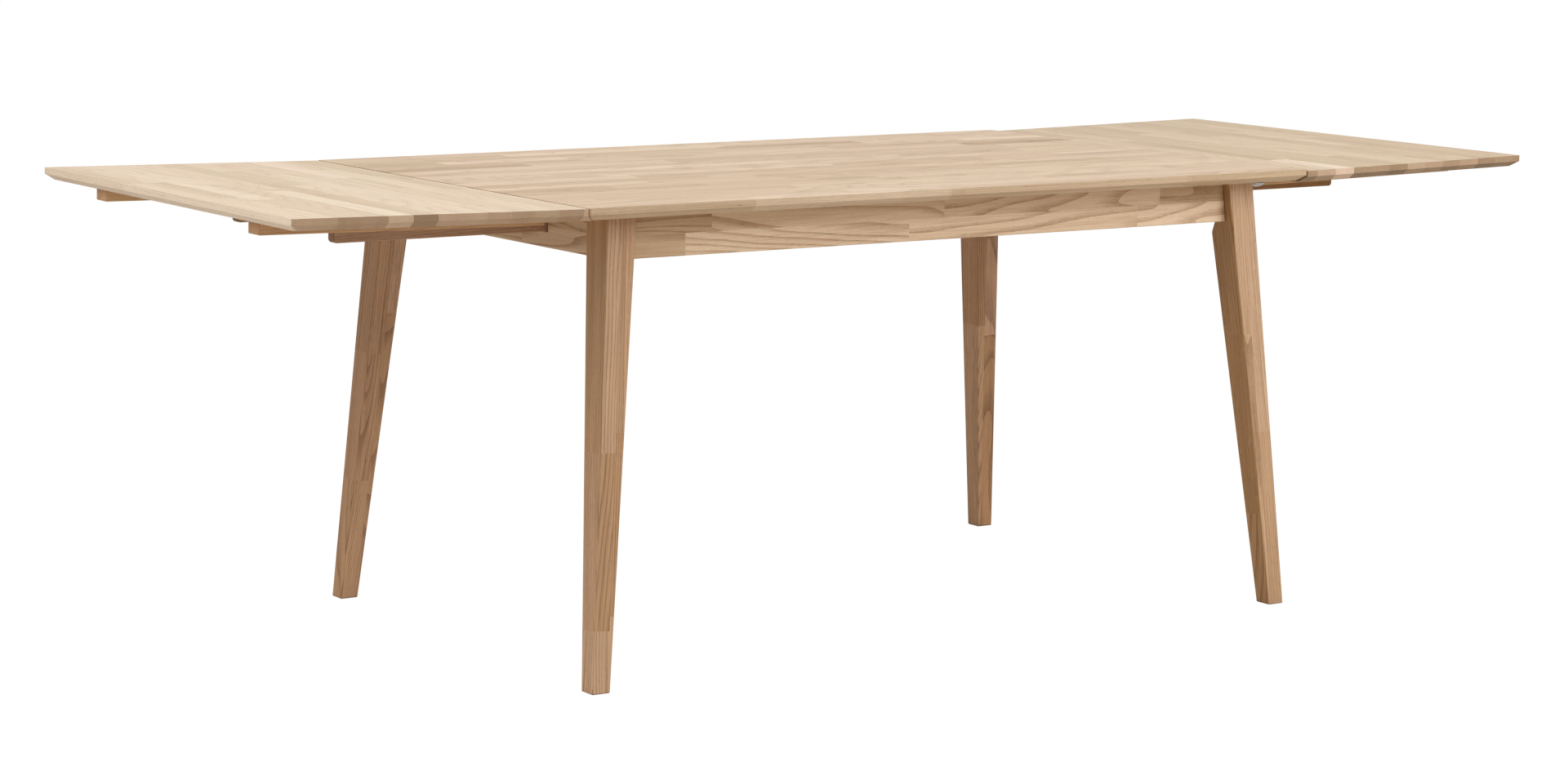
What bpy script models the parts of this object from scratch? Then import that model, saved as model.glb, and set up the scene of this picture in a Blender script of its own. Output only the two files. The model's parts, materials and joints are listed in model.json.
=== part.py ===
"""Extendable dining table: oak top, two loose end leaves on pull-out runners, four splayed legs.

Frame: origin on the floor under the middle of the table, +X along its length, +Z up, metres.
The table is drawn fully extended, with both leaves on their runners.
"""
import math

import bmesh
import bpy
from mathutils import Matrix, Vector

# ---------------------------------------------------------------- driving dimensions
TOP_LENGTH = 1.400
TOP_WIDTH = 0.900
TOP_HEIGHT = 0.745
BOARD = 0.019            # thickness of the main top and of the leaves
LAND = 0.0100            # upright part of the edge, above the undercut
UNDERCUT = 0.012         # how far the underside is set in from the edge
CORNER = 0.004           # plan radius of the boards' corners

LEAF_LENGTH = 0.487
LEAF_GAP = 0.0012        # joint between main top and leaf
LEAF_DROP = {"left": 0.0006, "right": 0.0027}
LEAF_TILT = {"left": math.radians(1.05), "right": math.radians(0.81)}

FOOT_OUTER = Vector((0.6850, 0.4375))   # outer and inner faces of a leg at the floor
FOOT_INNER = Vector((0.6530, 0.4040))
LEAN_OUTER = Vector((0.0725, 0.0679))   # how far each face leans in, per metre of height
LEAN_INNER = Vector((0.1016, 0.1074))
FOOT_LIFT = 0.0005
SEAT_START = 0.632       # height where the diagonal seat for the corner block begins
SEAT_FULL = 0.667
SEAT_PLANE = 0.9396      # x + y on the upright part of the seat
SEAT_CUT = 0.60          # width of the cut that makes the seat

APRON = 0.020            # thickness of aprons and rails
APRON_BOTTOM = 0.6555
APRON_FACE_Y = 0.375     # outer face of the long aprons
APRON_FACE_X = 0.618     # outer face of the end aprons

RUNNER_Y = 0.168
RUNNER_WIDTH = 0.020
RUNNER_BOTTOM = 0.681
RUNNER_TOP = 0.722
RUNNER_STOP = 0.9935     # outer end when its pin meets the cross rail
RUNNER_BACK = {"left": 0.0080, "right": 0.0}   # how far short of the stop each pair stands
RUNNER_LENGTH = 0.6075
RUNNER_NOSE = 0.006      # radius of the lower outer corner
NOTCH_WIDTH = 0.030
NOTCH_BOTTOM = 0.6805
RAIL_NOTCH = 0.0212
CROSS_RAIL = 0.415       # inner face of a cross rail
CENTRE_RAIL = 0.024      # thickness of the centre rail
PIN_RADIUS = 0.004
PIN_LENGTH = 0.036

BATTEN_Y = 0.276
BATTEN_WIDTH = 0.038
BATTEN_DEPTH = 0.020
BATTEN_FROM = -0.015     # measured from the leaf's inner top edge
BATTEN_TO = 0.463

DOWEL_Y = 0.220
DOWEL_RADIUS = 0.003
DOWEL_DEPTH = 0.0070
DOWEL_IN = 0.018
DOWEL_OUT = 0.014
DOWEL_PLAY = 0.0008

PAD_AT = 0.230           # middle of a rest pad, from the leaf's inner edge
PAD_SIZE = Vector((0.030, 0.016))

BLOCK_REACH = 0.060      # length of a corner block along each apron
BLOCK_BOTTOM = 0.669
BOLT_HEIGHT = 0.697
BOLT_RADIUS = 0.004
BOLT_IN_LEG = 0.030
BOLT_TAIL = 0.011
NUT_ACROSS = 0.0075
NUT_DEPTH = 0.0065
WASHER_RADIUS = 0.011
WASHER_DEPTH = 0.0018

BRACKET_LEG = 0.022
BRACKET_SHEET = 0.002
BRACKET_WIDTH = 0.026

LATCH_AT = Vector((0.6535, -0.372))
LATCH_REACH = 0.075
LATCH_WIDTH = 0.020
LATCH_BOTTOM = 0.7192
LATCH_SHEET = 0.003
KNOB_RADIUS = 0.016
KNOB_SAG = 0.0075
PIVOT_RADIUS = 0.004

GLIDE_RADIUS = 0.010
GLIDE_DEPTH = 0.003

GAP = 0.0003             # clearance between pieces that touch
UNDERSIDE = TOP_HEIGHT - BOARD
FRAME_TOP = UNDERSIDE - GAP
EASE = 0.0010            # small arris on sawn pieces
LEG_EASE = 0.0015

# ---------------------------------------------------------------- scene and materials
for old in list(bpy.data.objects):
    bpy.data.objects.remove(old, do_unlink=True)

parts = bpy.data.collections.new("extendable_dining_table")
cutters = bpy.data.collections.new("cutters")
bpy.context.scene.collection.children.link(parts)
bpy.context.scene.collection.children.link(cutters)


def material(name, colour, roughness, metallic=0.0):
    made = bpy.data.materials.new(name)
    made.use_nodes = True
    shader = made.node_tree.nodes["Principled BSDF"]
    shader.inputs["Base Color"].default_value = (*colour, 1.0)
    shader.inputs["Roughness"].default_value = roughness
    shader.inputs["Metallic"].default_value = metallic
    return made


OAK_TOP = material("oak_top", (0.62, 0.47, 0.33), 0.55)
OAK_LEAF = material("oak_leaf", (0.66, 0.51, 0.35), 0.55)
OAK_LEG = material("oak_leg", (0.50, 0.35, 0.22), 0.55)
OAK_FRAME = material("oak_frame", (0.48, 0.34, 0.21), 0.58)
OAK_RUNNER = material("oak_runner", (0.42, 0.28, 0.16), 0.55)
OAK_BATTEN = material("oak_batten", (0.45, 0.31, 0.19), 0.55)
BEECH = material("beech", (0.62, 0.45, 0.30), 0.55)
STEEL = material("zinc_steel", (0.62, 0.63, 0.65), 0.32, 1.0)
BRIGHT = material("bright_steel", (0.78, 0.78, 0.80), 0.20, 1.0)
FELT = material("felt", (0.22, 0.21, 0.20), 0.95)
NYLON = material("nylon", (0.75, 0.72, 0.66), 0.45)


# ---------------------------------------------------------------- building helpers
def add(name, mesh, made_of, frame=None):
    """Link a finished mesh as a named piece, in the frame of an empty if one is given."""
    mesh.name = name
    mesh.materials.append(made_of)
    piece = bpy.data.objects.new(name, mesh)
    parts.objects.link(piece)
    piece.parent = frame
    return piece


def cutter(mesh, frame=None):
    tool = bpy.data.objects.new("cutter", mesh)
    cutters.objects.link(tool)
    tool.hide_render = True
    tool.display_type = "WIRE"
    tool.parent = frame
    return tool


def cut(piece, tool):
    made = piece.modifiers.new("cut", "BOOLEAN")
    made.operation = "DIFFERENCE"
    made.object = tool


def join(piece, tool):
    made = piece.modifiers.new("join", "BOOLEAN")
    made.operation = "UNION"
    made.object = tool


def ease(piece, width=EASE, segments=1):
    """Round the sharp edges of a sawn piece a little."""
    made = piece.modifiers.new("ease", "BEVEL")
    made.width = width
    made.segments = segments
    made.limit_method = "ANGLE"
    made.angle_limit = math.radians(40)


def finish(bm, name):
    bmesh.ops.recalc_face_normals(bm, faces=bm.faces)
    mesh = bpy.data.meshes.new(name)
    bm.to_mesh(mesh)
    bm.free()
    return mesh


def box(low, high):
    """A cuboid mesh between two opposite corners."""
    low = Vector(low)
    high = Vector(high)
    bm = bmesh.new()
    size = high - low
    place = Matrix.Translation((low + high) / 2) @ Matrix.Diagonal((*size, 1.0))
    bmesh.ops.create_cube(bm, size=1.0, matrix=place)
    return finish(bm, "box")


def rod(radius, start, end, sides=24):
    """A cylinder mesh whose axis runs from start to end."""
    start = Vector(start)
    end = Vector(end)
    along = end - start
    turn = along.to_track_quat("Z", "Y").to_matrix().to_4x4()
    bm = bmesh.new()
    bmesh.ops.create_cone(bm, cap_ends=True, segments=sides, radius1=radius, radius2=radius,
                          depth=along.length, matrix=Matrix.Translation((start + end) / 2) @ turn)
    mesh = finish(bm, "rod")
    mesh.shade_smooth()
    mesh.set_sharp_from_angle(angle=math.radians(35))
    return mesh


def outline(points, thickness, place):
    """A flat plate: a closed outline in its own XY plane, thickness centred on that plane."""
    curve = bpy.data.curves.new("outline", "CURVE")
    curve.dimensions = "2D"
    curve.fill_mode = "BOTH"
    curve.extrude = thickness / 2
    spline = curve.splines.new("POLY")
    spline.points.add(len(points) - 1)
    for point, (u, v) in zip(spline.points, points):
        point.co = (u, v, 0.0, 1.0)
    spline.use_cyclic_u = True
    shape = bpy.data.objects.new("outline", curve)
    parts.objects.link(shape)
    bpy.context.view_layer.update()
    seen = shape.evaluated_get(bpy.context.evaluated_depsgraph_get())
    mesh = bpy.data.meshes.new_from_object(seen)
    bpy.data.objects.remove(shape)
    bpy.data.curves.remove(curve)
    bm = bmesh.new()
    bm.from_mesh(mesh)
    bpy.data.meshes.remove(mesh)
    bmesh.ops.remove_doubles(bm, verts=bm.verts, dist=0.00005)
    bmesh.ops.dissolve_limit(bm, angle_limit=0.001, verts=bm.verts, edges=bm.edges)
    bmesh.ops.transform(bm, matrix=place, verts=bm.verts)
    return finish(bm, "outline")


def arc(centre, radius, start, stop, steps):
    """Points of a circular arc, angles in degrees."""
    angles = [math.radians(start + (stop - start) * i / steps) for i in range(steps + 1)]
    return [(centre[0] + radius * math.cos(a), centre[1] + radius * math.sin(a)) for a in angles]


def facing(origin, u_axis, v_axis):
    """Matrix that lays an outline's XY plane on two given directions at an origin."""
    u_axis = Vector(u_axis).normalized()
    v_axis = Vector(v_axis).normalized()
    w_axis = u_axis.cross(v_axis)
    turn = Matrix((u_axis, v_axis, w_axis)).transposed().to_4x4()
    return Matrix.Translation(origin) @ turn


def empty(name, location, rotation):
    made = bpy.data.objects.new(name, None)
    parts.objects.link(made)
    made.location = location
    made.rotation_euler = rotation
    return made


def board(low_x, high_x, half_y, inner_overhang):
    """A table board with its top face on z = 0 and an undercut edge.

    The edge at low_x is undercut like the rest, or runs the other way as a lip that fits under
    the main top when inner_overhang is set.
    """
    bm = bmesh.new()
    place = Matrix.Translation(((low_x + high_x) / 2, 0, -BOARD / 2))
    place = place @ Matrix.Diagonal((high_x - low_x, 2 * half_y, BOARD, 1.0))
    bmesh.ops.create_cube(bm, size=1.0, matrix=place)
    upright = [e for e in bm.edges if abs(e.verts[0].co.z - e.verts[1].co.z) > BOARD / 2]
    if inner_overhang:
        upright = [e for e in upright if e.verts[0].co.x > (low_x + high_x) / 2]
    bmesh.ops.bevel(bm, geom=upright, offset=CORNER, segments=3, profile=0.5, affect="EDGES")
    geometry = bm.verts[:] + bm.edges[:] + bm.faces[:]
    bmesh.ops.bisect_plane(bm, geom=geometry, plane_co=(0, 0, -LAND), plane_no=(0, 0, 1))
    middle = (low_x + high_x) / 2
    for vert in bm.verts:
        if vert.co.z > -BOARD + 0.0001:
            continue
        inner = vert.co.x < middle
        step = UNDERCUT if inner and inner_overhang else -UNDERCUT
        vert.co.x += -step if inner else step
        vert.co.y -= math.copysign(UNDERCUT, vert.co.y)
    return finish(bm, "board")


def leg_face(foot, lean, z):
    return foot - lean * z


# ---------------------------------------------------------------- frames of the two ends
SIDES = ("right", "left")
half = TOP_LENGTH / 2
side_frame = {}
leaf_frame = {}
for side in SIDES:
    turn = 0.0 if side == "right" else math.pi
    side_frame[side] = empty("frame_" + side, (0, 0, 0), (0, 0, turn))
    reach = half + LEAF_GAP
    at = (reach * math.cos(turn), 0, TOP_HEIGHT - LEAF_DROP[side])
    leaf_frame[side] = empty("leaf_frame_" + side, at, (0, -LEAF_TILT[side], turn))

# ---------------------------------------------------------------- main top
top = add("table_top", board(-half, half, TOP_WIDTH / 2, False), OAK_TOP)
top.location = (0, 0, TOP_HEIGHT)
for side in SIDES:
    for sy in (-1, 1):
        z = TOP_HEIGHT - LEAF_DROP[side] - DOWEL_DEPTH
        bore = rod(DOWEL_RADIUS + DOWEL_PLAY, (half - DOWEL_OUT - 0.004, sy * DOWEL_Y, z),
                   (half + 0.01, sy * DOWEL_Y, z))
        cut(top, cutter(bore, side_frame[side]))

# ---------------------------------------------------------------- legs, blocks, bolts, glides
QUARTERS = {
    "front_left": (-1, -1),
    "front_right": (1, -1),
    "back_left": (-1, 1),
    "back_right": (1, 1),
}


def leg_mesh(sx, sy):
    """A four-sided leg that leans out and tapers to the foot."""
    bm = bmesh.new()
    bmesh.ops.create_cube(bm, size=1.0)
    for vert in bm.verts:
        z = FOOT_LIFT if vert.co.z < 0 else FRAME_TOP
        outer = leg_face(FOOT_OUTER, LEAN_OUTER, z)
        inner = leg_face(FOOT_INNER, LEAN_INNER, z)
        x = outer.x if vert.co.x > 0 else inner.x
        y = outer.y if vert.co.y > 0 else inner.y
        vert.co = (sx * x, sy * y, z)
    return finish(bm, "leg")


def bolt_line(sx, sy):
    """Seat centre and outward direction of a corner bolt."""
    across = APRON_FACE_X - APRON
    along = APRON_FACE_Y - APRON
    x = (across + SEAT_PLANE - along) / 2
    centre = Vector((sx * x, sy * (SEAT_PLANE - x), BOLT_HEIGHT))
    outward = Vector((sx, sy, 0)).normalized()
    return centre, outward


block_thick = BLOCK_REACH / math.sqrt(2)
for place, (sx, sy) in QUARTERS.items():
    centre, outward = bolt_line(sx, sy)
    inner_face = centre - outward * block_thick

    leg = add("leg_" + place, leg_mesh(sx, sy), OAK_LEG)
    corner_start = leg_face(FOOT_INNER, LEAN_INNER, SEAT_START)
    root = math.sqrt(2)
    start = (corner_start.x + corner_start.y) / root
    full = SEAT_PLANE / root
    clear = full - 0.10
    high = TOP_HEIGHT + 0.01
    seat = [(start, SEAT_START), (full, SEAT_FULL), (full, high), (clear, high), (clear, SEAT_START)]
    cut(leg, cutter(outline(seat, SEAT_CUT, facing((0, 0, 0), outward, (0, 0, 1)))))
    ease(leg, LEG_EASE)
    cut(leg, cutter(rod(BOLT_RADIUS + GAP, centre - outward * 0.01,
                        centre + outward * (BOLT_IN_LEG + GAP))))
    foot = (FOOT_OUTER + FOOT_INNER) / 2
    foot_x = sx * foot.x
    foot_y = sy * foot.y
    cut(leg, cutter(rod(GLIDE_RADIUS + GAP, (foot_x, foot_y, -0.01),
                        (foot_x, foot_y, GLIDE_DEPTH + GAP))))

    add("foot_glide_" + place, rod(GLIDE_RADIUS, (foot_x, foot_y, 0), (foot_x, foot_y, GLIDE_DEPTH)), NYLON)

    x_face = APRON_FACE_X - APRON - GAP
    y_face = APRON_FACE_Y - APRON - GAP
    seat_sum = SEAT_PLANE - GAP * root
    plan = [(x_face, seat_sum - x_face), (seat_sum - y_face, y_face)]
    plan += [(seat_sum - y_face - BLOCK_REACH, y_face), (x_face, seat_sum - x_face - BLOCK_REACH)]
    plan = [(sx * u, sy * v) for u, v in plan]
    middle = (BLOCK_BOTTOM + FRAME_TOP - 0.001) / 2
    deep = FRAME_TOP - 0.001 - BLOCK_BOTTOM
    block = add("corner_block_" + place, outline(plan, deep, Matrix.Translation((0, 0, middle))), OAK_FRAME)
    cut(block, cutter(rod(BOLT_RADIUS + GAP, centre - outward * 0.10, centre + outward * 0.05)))
    ease(block)

    face = inner_face - outward * 2 * GAP
    bolt = add("corner_bolt_" + place,
               rod(BOLT_RADIUS, face - outward * BOLT_TAIL, centre + outward * BOLT_IN_LEG), STEEL)
    washer = face - outward * WASHER_DEPTH
    join(bolt, cutter(rod(WASHER_RADIUS, face, washer)))
    join(bolt, cutter(rod(NUT_ACROSS, washer + outward * 0.0002, washer - outward * NUT_DEPTH, 6)))

# ---------------------------------------------------------------- long aprons
for place, sy in (("front", -1), ("back", 1)):
    low = leg_face(FOOT_INNER, LEAN_INNER, APRON_BOTTOM).x - GAP
    high = leg_face(FOOT_INNER, LEAN_INNER, FRAME_TOP).x - GAP
    shape = [(-low, APRON_BOTTOM), (low, APRON_BOTTOM), (high, FRAME_TOP), (-high, FRAME_TOP)]
    middle = sy * (APRON_FACE_Y - APRON / 2)
    apron = add("apron_" + place, outline(shape, APRON, facing((0, middle, 0), (1, 0, 0), (0, 0, 1))), OAK_FRAME)
    ease(apron)

# ---------------------------------------------------------------- ends: aprons, rails, runners
for side in SIDES:
    frame = side_frame[side]

    low = leg_face(FOOT_INNER, LEAN_INNER, APRON_BOTTOM).y - GAP
    high = leg_face(FOOT_INNER, LEAN_INNER, FRAME_TOP).y - GAP
    shape = [(-low, APRON_BOTTOM), (low, APRON_BOTTOM), (high, FRAME_TOP), (-high, FRAME_TOP)]
    middle = APRON_FACE_X - APRON / 2
    apron = add("apron_" + side, outline(shape, APRON, facing((middle, 0, 0), (0, 1, 0), (0, 0, 1))),
                OAK_FRAME, frame)
    rail_y = APRON_FACE_Y - APRON - GAP
    rail = add("cross_rail_" + side, box((CROSS_RAIL, -rail_y, APRON_BOTTOM + 0.004),
                                         (CROSS_RAIL + APRON, rail_y, FRAME_TOP)), OAK_FRAME, frame)
    for sy in (-1, 1):
        y = sy * RUNNER_Y
        notch = box((APRON_FACE_X - 0.05, y - NOTCH_WIDTH / 2, NOTCH_BOTTOM),
                    (APRON_FACE_X + 0.05, y + NOTCH_WIDTH / 2, TOP_HEIGHT))
        cut(apron, cutter(notch, frame))
        notch = box((CROSS_RAIL - 0.05, y - RAIL_NOTCH / 2, NOTCH_BOTTOM),
                    (CROSS_RAIL + 0.05, y + RAIL_NOTCH / 2, TOP_HEIGHT))
        cut(rail, cutter(notch, frame))
    ease(apron)
    ease(rail)

    for sy in (-1, 1):
        depth = "front" if (sy < 0) == (side == "right") else "back"
        tag = side + "_" + depth
        y = sy * RUNNER_Y
        outer = RUNNER_STOP - RUNNER_BACK[side]
        inner = outer - RUNNER_LENGTH
        nose = arc((outer - RUNNER_NOSE, RUNNER_BOTTOM + RUNNER_NOSE), RUNNER_NOSE, -90, 0, 6)
        shape = [(inner, RUNNER_BOTTOM)] + nose + [(outer, RUNNER_TOP), (inner, RUNNER_TOP)]
        runner = add("runner_" + tag, outline(shape, RUNNER_WIDTH, facing((0, y, 0), (1, 0, 0), (0, 0, 1))),
                     OAK_RUNNER, frame)
        pin_x = CROSS_RAIL - GAP - PIN_RADIUS - RUNNER_BACK[side]
        pin_z = (RUNNER_BOTTOM + RUNNER_TOP) / 2
        cut(runner, cutter(rod(PIN_RADIUS + GAP, (pin_x, y - 0.03, pin_z), (pin_x, y + 0.03, pin_z)), frame))
        ease(runner)
        add("stop_pin_" + tag, rod(PIN_RADIUS, (pin_x, y - PIN_LENGTH / 2, pin_z),
                                   (pin_x, y + PIN_LENGTH / 2, pin_z)), BEECH, frame)

centre = box((-CENTRE_RAIL / 2, -rail_y, APRON_BOTTOM + 0.004), (CENTRE_RAIL / 2, rail_y, FRAME_TOP))
ease(add("centre_rail", centre, OAK_FRAME))

# ---------------------------------------------------------------- leaves
for side in SIDES:
    frame = leaf_frame[side]
    leaf = add("leaf_" + side, board(0, LEAF_LENGTH, TOP_WIDTH / 2, True), OAK_LEAF, frame)
    gap_under = (TOP_HEIGHT - LEAF_DROP[side] + PAD_AT * math.sin(LEAF_TILT[side])
                 - BOARD * math.cos(LEAF_TILT[side]) - RUNNER_TOP)
    for sy in (-1, 1):
        depth = "front" if (sy < 0) == (side == "right") else "back"
        tag = side + "_" + depth
        y = sy * DOWEL_Y
        cut(leaf, cutter(rod(DOWEL_RADIUS + GAP, (-0.03, y, -DOWEL_DEPTH), (DOWEL_IN + GAP, y, -DOWEL_DEPTH)),
                         frame))
        add("leaf_dowel_" + tag, rod(DOWEL_RADIUS, (-DOWEL_OUT, y, -DOWEL_DEPTH), (DOWEL_IN, y, -DOWEL_DEPTH)),
            BEECH, frame)
        y = sy * BATTEN_Y
        under = -BOARD - GAP
        batten = box((BATTEN_FROM, y - BATTEN_WIDTH / 2, under - BATTEN_DEPTH),
                     (BATTEN_TO, y + BATTEN_WIDTH / 2, under))
        ease(add("leaf_batten_" + tag, batten, OAK_BATTEN, frame))
        y = sy * RUNNER_Y
        deep = gap_under - 3 * GAP
        pad = box((PAD_AT - PAD_SIZE.x / 2, y - PAD_SIZE.y / 2, under - deep),
                  (PAD_AT + PAD_SIZE.x / 2, y + PAD_SIZE.y / 2, under))
        add("rest_pad_" + tag, pad, FELT, frame)

# ---------------------------------------------------------------- latches
for side in SIDES:
    frame = side_frame[side]
    wide = LATCH_WIDTH / 2
    tip = (LATCH_AT.x + LATCH_REACH - wide, LATCH_AT.y)
    shape = arc(LATCH_AT, wide, 90, 270, 12) + arc(tip, wide, -90, 90, 12)
    middle = LATCH_BOTTOM + LATCH_SHEET / 2
    tongue = add("latch_tongue_" + side, outline(shape, LATCH_SHEET, Matrix.Translation((0, 0, middle))),
                 STEEL, frame)
    cut(tongue, cutter(rod(PIVOT_RADIUS + GAP, (*LATCH_AT, 0.70), (*LATCH_AT, 0.74)), frame))

    rim = LATCH_BOTTOM - GAP
    ball = (KNOB_RADIUS ** 2 + KNOB_SAG ** 2) / (2 * KNOB_SAG)
    reach = math.degrees(math.asin(KNOB_RADIUS / ball))
    dome = arc((0, rim - KNOB_SAG + ball), ball, -90 + reach, -90, 8)
    profile = [(0, FRAME_TOP), (PIVOT_RADIUS, FRAME_TOP), (PIVOT_RADIUS, rim)] + dome
    profile[-1] = (0, profile[-1][1])
    turned = bmesh.new()
    verts = [turned.verts.new((u, 0, v)) for u, v in profile]
    for first, second in zip(verts, verts[1:]):
        turned.edges.new((first, second))
    bmesh.ops.spin(turned, geom=turned.verts[:] + turned.edges[:], axis=(0, 0, 1), cent=(0, 0, 0),
                   angle=2 * math.pi, steps=28, use_merge=True, use_duplicate=False)
    bmesh.ops.remove_doubles(turned, verts=turned.verts, dist=0.00005)
    knob_mesh = finish(turned, "knob")
    knob_mesh.shade_smooth()
    knob_mesh.set_sharp_from_angle(angle=math.radians(35))
    knob = add("latch_knob_" + side, knob_mesh, BRIGHT, frame)
    knob.location = (*LATCH_AT, 0)

# ---------------------------------------------------------------- brackets under the top
angle = [(0, 0), (BRACKET_LEG, 0), (BRACKET_LEG, -BRACKET_SHEET), (BRACKET_SHEET, -BRACKET_SHEET),
         (BRACKET_SHEET, -BRACKET_LEG), (0, -BRACKET_LEG)]
y_face = APRON_FACE_Y - APRON - GAP
x_face = APRON_FACE_X - APRON - GAP
BRACKETS = {
    "front_left": ((-0.25, -y_face), (0, 1, 0)),
    "front_right": ((0.25, -y_face), (0, 1, 0)),
    "back_left": ((-0.25, y_face), (0, -1, 0)),
    "back_right": ((0.25, y_face), (0, -1, 0)),
    "left": ((-x_face, 0), (1, 0, 0)),
    "right": ((x_face, 0), (-1, 0, 0)),
}
for place, (at, inward) in BRACKETS.items():
    laid = facing((*at, FRAME_TOP), inward, (0, 0, 1))
    add("top_bracket_" + place, outline(angle, BRACKET_WIDTH, laid), STEEL)

bpy.context.view_layer.update()
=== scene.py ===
import json
import math
import random
from collections import namedtuple

import bmesh
import bpy
from mathutils import Matrix, Vector
from mathutils.bvhtree import BVHTree


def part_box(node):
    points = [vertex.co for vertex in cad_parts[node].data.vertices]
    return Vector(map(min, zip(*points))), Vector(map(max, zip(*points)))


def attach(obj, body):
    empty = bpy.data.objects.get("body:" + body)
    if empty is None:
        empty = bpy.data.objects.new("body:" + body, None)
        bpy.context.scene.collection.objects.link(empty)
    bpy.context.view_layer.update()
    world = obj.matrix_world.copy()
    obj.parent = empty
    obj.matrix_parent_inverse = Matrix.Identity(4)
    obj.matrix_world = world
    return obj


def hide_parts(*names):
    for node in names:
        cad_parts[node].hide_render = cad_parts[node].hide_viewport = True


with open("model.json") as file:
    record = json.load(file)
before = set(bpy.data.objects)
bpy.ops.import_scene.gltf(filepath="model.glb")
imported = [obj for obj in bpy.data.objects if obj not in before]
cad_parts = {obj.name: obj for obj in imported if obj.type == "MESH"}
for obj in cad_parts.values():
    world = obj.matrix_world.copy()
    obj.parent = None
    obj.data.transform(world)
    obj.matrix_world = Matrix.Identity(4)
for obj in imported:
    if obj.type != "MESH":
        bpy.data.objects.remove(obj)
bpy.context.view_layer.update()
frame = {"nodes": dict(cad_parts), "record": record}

# ---------------------------------------------------------------- sizes, in metres
MM = 0.001
X, Y, Z = Vector((1, 0, 0)), Vector((0, 1, 0)), Vector((0, 0, 1))
ORIGIN = Vector((0, 0, 0))
UP = (0, 0, 1)

# the copies of the CAD nodes
MERGE = 0.02 * MM                # corners nearer than this are one corner
FLAT = math.radians(0.4)         # triangles turned less than this lie in one face
ARRIS_FROM = math.radians(25)    # an edge that turns between these two angles belongs to
ARRIS_TO = math.radians(75)      # a planed arris, which is two such edges side by side
ARRIS_SHORTEST = 4 * MM
EDGE_ROUND = 0.55 * MM           # each line of the planed arris is sanded round by this much
EDGE_STEPS = 3
CRISP = math.radians(38)         # an edge that turns more than this shows as a line
CUT_NEAR = 1e-6                  # a corner this near to a cut lies on it
FAR_OFF = 1e3                    # further than any piece reaches

# the staves
HALF_WIDTH = 0.45                # of the main top
TOP_ROW = 42.86 * MM             # stave widths as glued up
LEAF_ROW = 40.6 * MM
LEG_ROW = 27.0 * MM
OUTER_ROW = 0.04                 # the outermost rows are at most about this wide
NARROWEST_ROW = 0.2              # no row is narrower than this share of the others
FIRST_STAVE = (0.25, 1.0)        # how long a row's first stave may be, in longest staves
SHORTEST_STUB = 0.35             # and how short its last may be, in shortest staves
TONE_SPREAD, WARMTH_SPREAD = 0.48, 0.45
ODDEST = 1.6                     # no stave stands out further than this
END_GRAIN_FROM = 0.15            # how squarely a face must cut the fibres to show end grain,
END_GRAIN_FULL = 0.62            # and to show it fully
PAINTED_SIDE_FROM = 0.55                # how squarely a face must look across the grain to be a side, which takes painted light and shade

# where the staves sat in the trunk
PITH_NEAR, PITH_FAR = 0.055, 0.16
TRUNKS = 40.0                    # staves are taken from anywhere along so many metres of log
LEAN = 1.3                       # degrees that the saw strayed from the trunk's own line

# the pattern of the oak
RING_PITCH = 3.6 * MM            # growth rings, a little coarser than the real 2.5 mm
RING_WANDER = 24 * MM            # how far a ring strays in and out on its way up the trunk
RING_UNEVEN = 2.2                # how many rings good and bad years shift the rest by
YEARS_CHANGE = 70.0              # good and bad years come so many times a metre
EARLY_WOOD = 0.55                # the share of a ring that is open early wood
FIBRE_WIDTH = 2.4 * MM           # streaks of fibre; single fibres are far too fine to show
PORE_WIDTH = 0.7 * MM            # open pores, drawn twice their real 0.3 mm so that they show
PORE_LENGTH = 14.0 * MM
PORES_FROM, PORES_FULL = 0.60, 0.72
FLECK_FROM, FLECK_FULL = 0.62, 0.74
DEPTH_START = -0.775             # centres the fibre and its bands, which add to the rings
GRAIN_RELIEF = 0.15 * MM         # how far the open grain stands and sinks
# repeats in a metre along, across and through the log
STRAYS = (1.6, 9.0, 9.0)
FIBRES = (7.0, 1.0 / FIBRE_WIDTH, 1.0 / FIBRE_WIDTH)
BANDS = (1.7, 48.0, 48.0)
PORES = (1.0 / PORE_LENGTH, 1.0 / PORE_WIDTH, 1.0 / PORE_WIDTH)
# repeats in a metre along the log, in a radian round the pith, and in a metre out from it
FLECKS = (62.0, 90.0, 32.0)

# the screws
SCREW_RADIUS = 3.6 * MM          # head of a 4 mm countersunk wood screw
SCREW_STEPS = 24
SCREW_PROUD = 0.25 * MM          # the head stands this far out of the face
BATTEN_SCREWS = (0.10, 0.36, 0.63, 0.90)    # places along a batten, as shares of its length
BRACKET_SCREW = 2.5 * MM         # from the middle of a bracket to the middle of its arm
SCREW_START = 0.05               # a bracket's face is looked for from this far away

# ---------------------------------------------------------------- small helpers
BODY_OF = {
    node: body
    for body, nodes in frame["record"]["behaviour"]["bodies"].items()
    for node in nodes
}


def linear(code, alpha=1.0):
    """A colour written as sRGB hex, in the linear values that shaders take."""
    parts = [int(code[i:i + 2], 16) / 255 for i in (1, 3, 5)]
    parts = [c / 12.92 if c <= 0.04045 else ((c + 0.055) / 1.055) ** 2.4 for c in parts]
    return (*parts, alpha)


def node(tree, kind, settings=None, inputs=None):
    """Adds one node, sets its properties, and sets or links its inputs. A node given as an
    input stands for its own first output."""
    made = tree.nodes.new(kind)
    for name, value in (settings or {}).items():
        setattr(made, name, value)
    for key, value in (inputs or {}).items():
        if isinstance(value, bpy.types.Node):
            value = value.outputs[0]
        if isinstance(value, bpy.types.NodeSocket):
            tree.links.new(value, made.inputs[key])
        else:
            made.inputs[key].default_value = value
    return made


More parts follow.
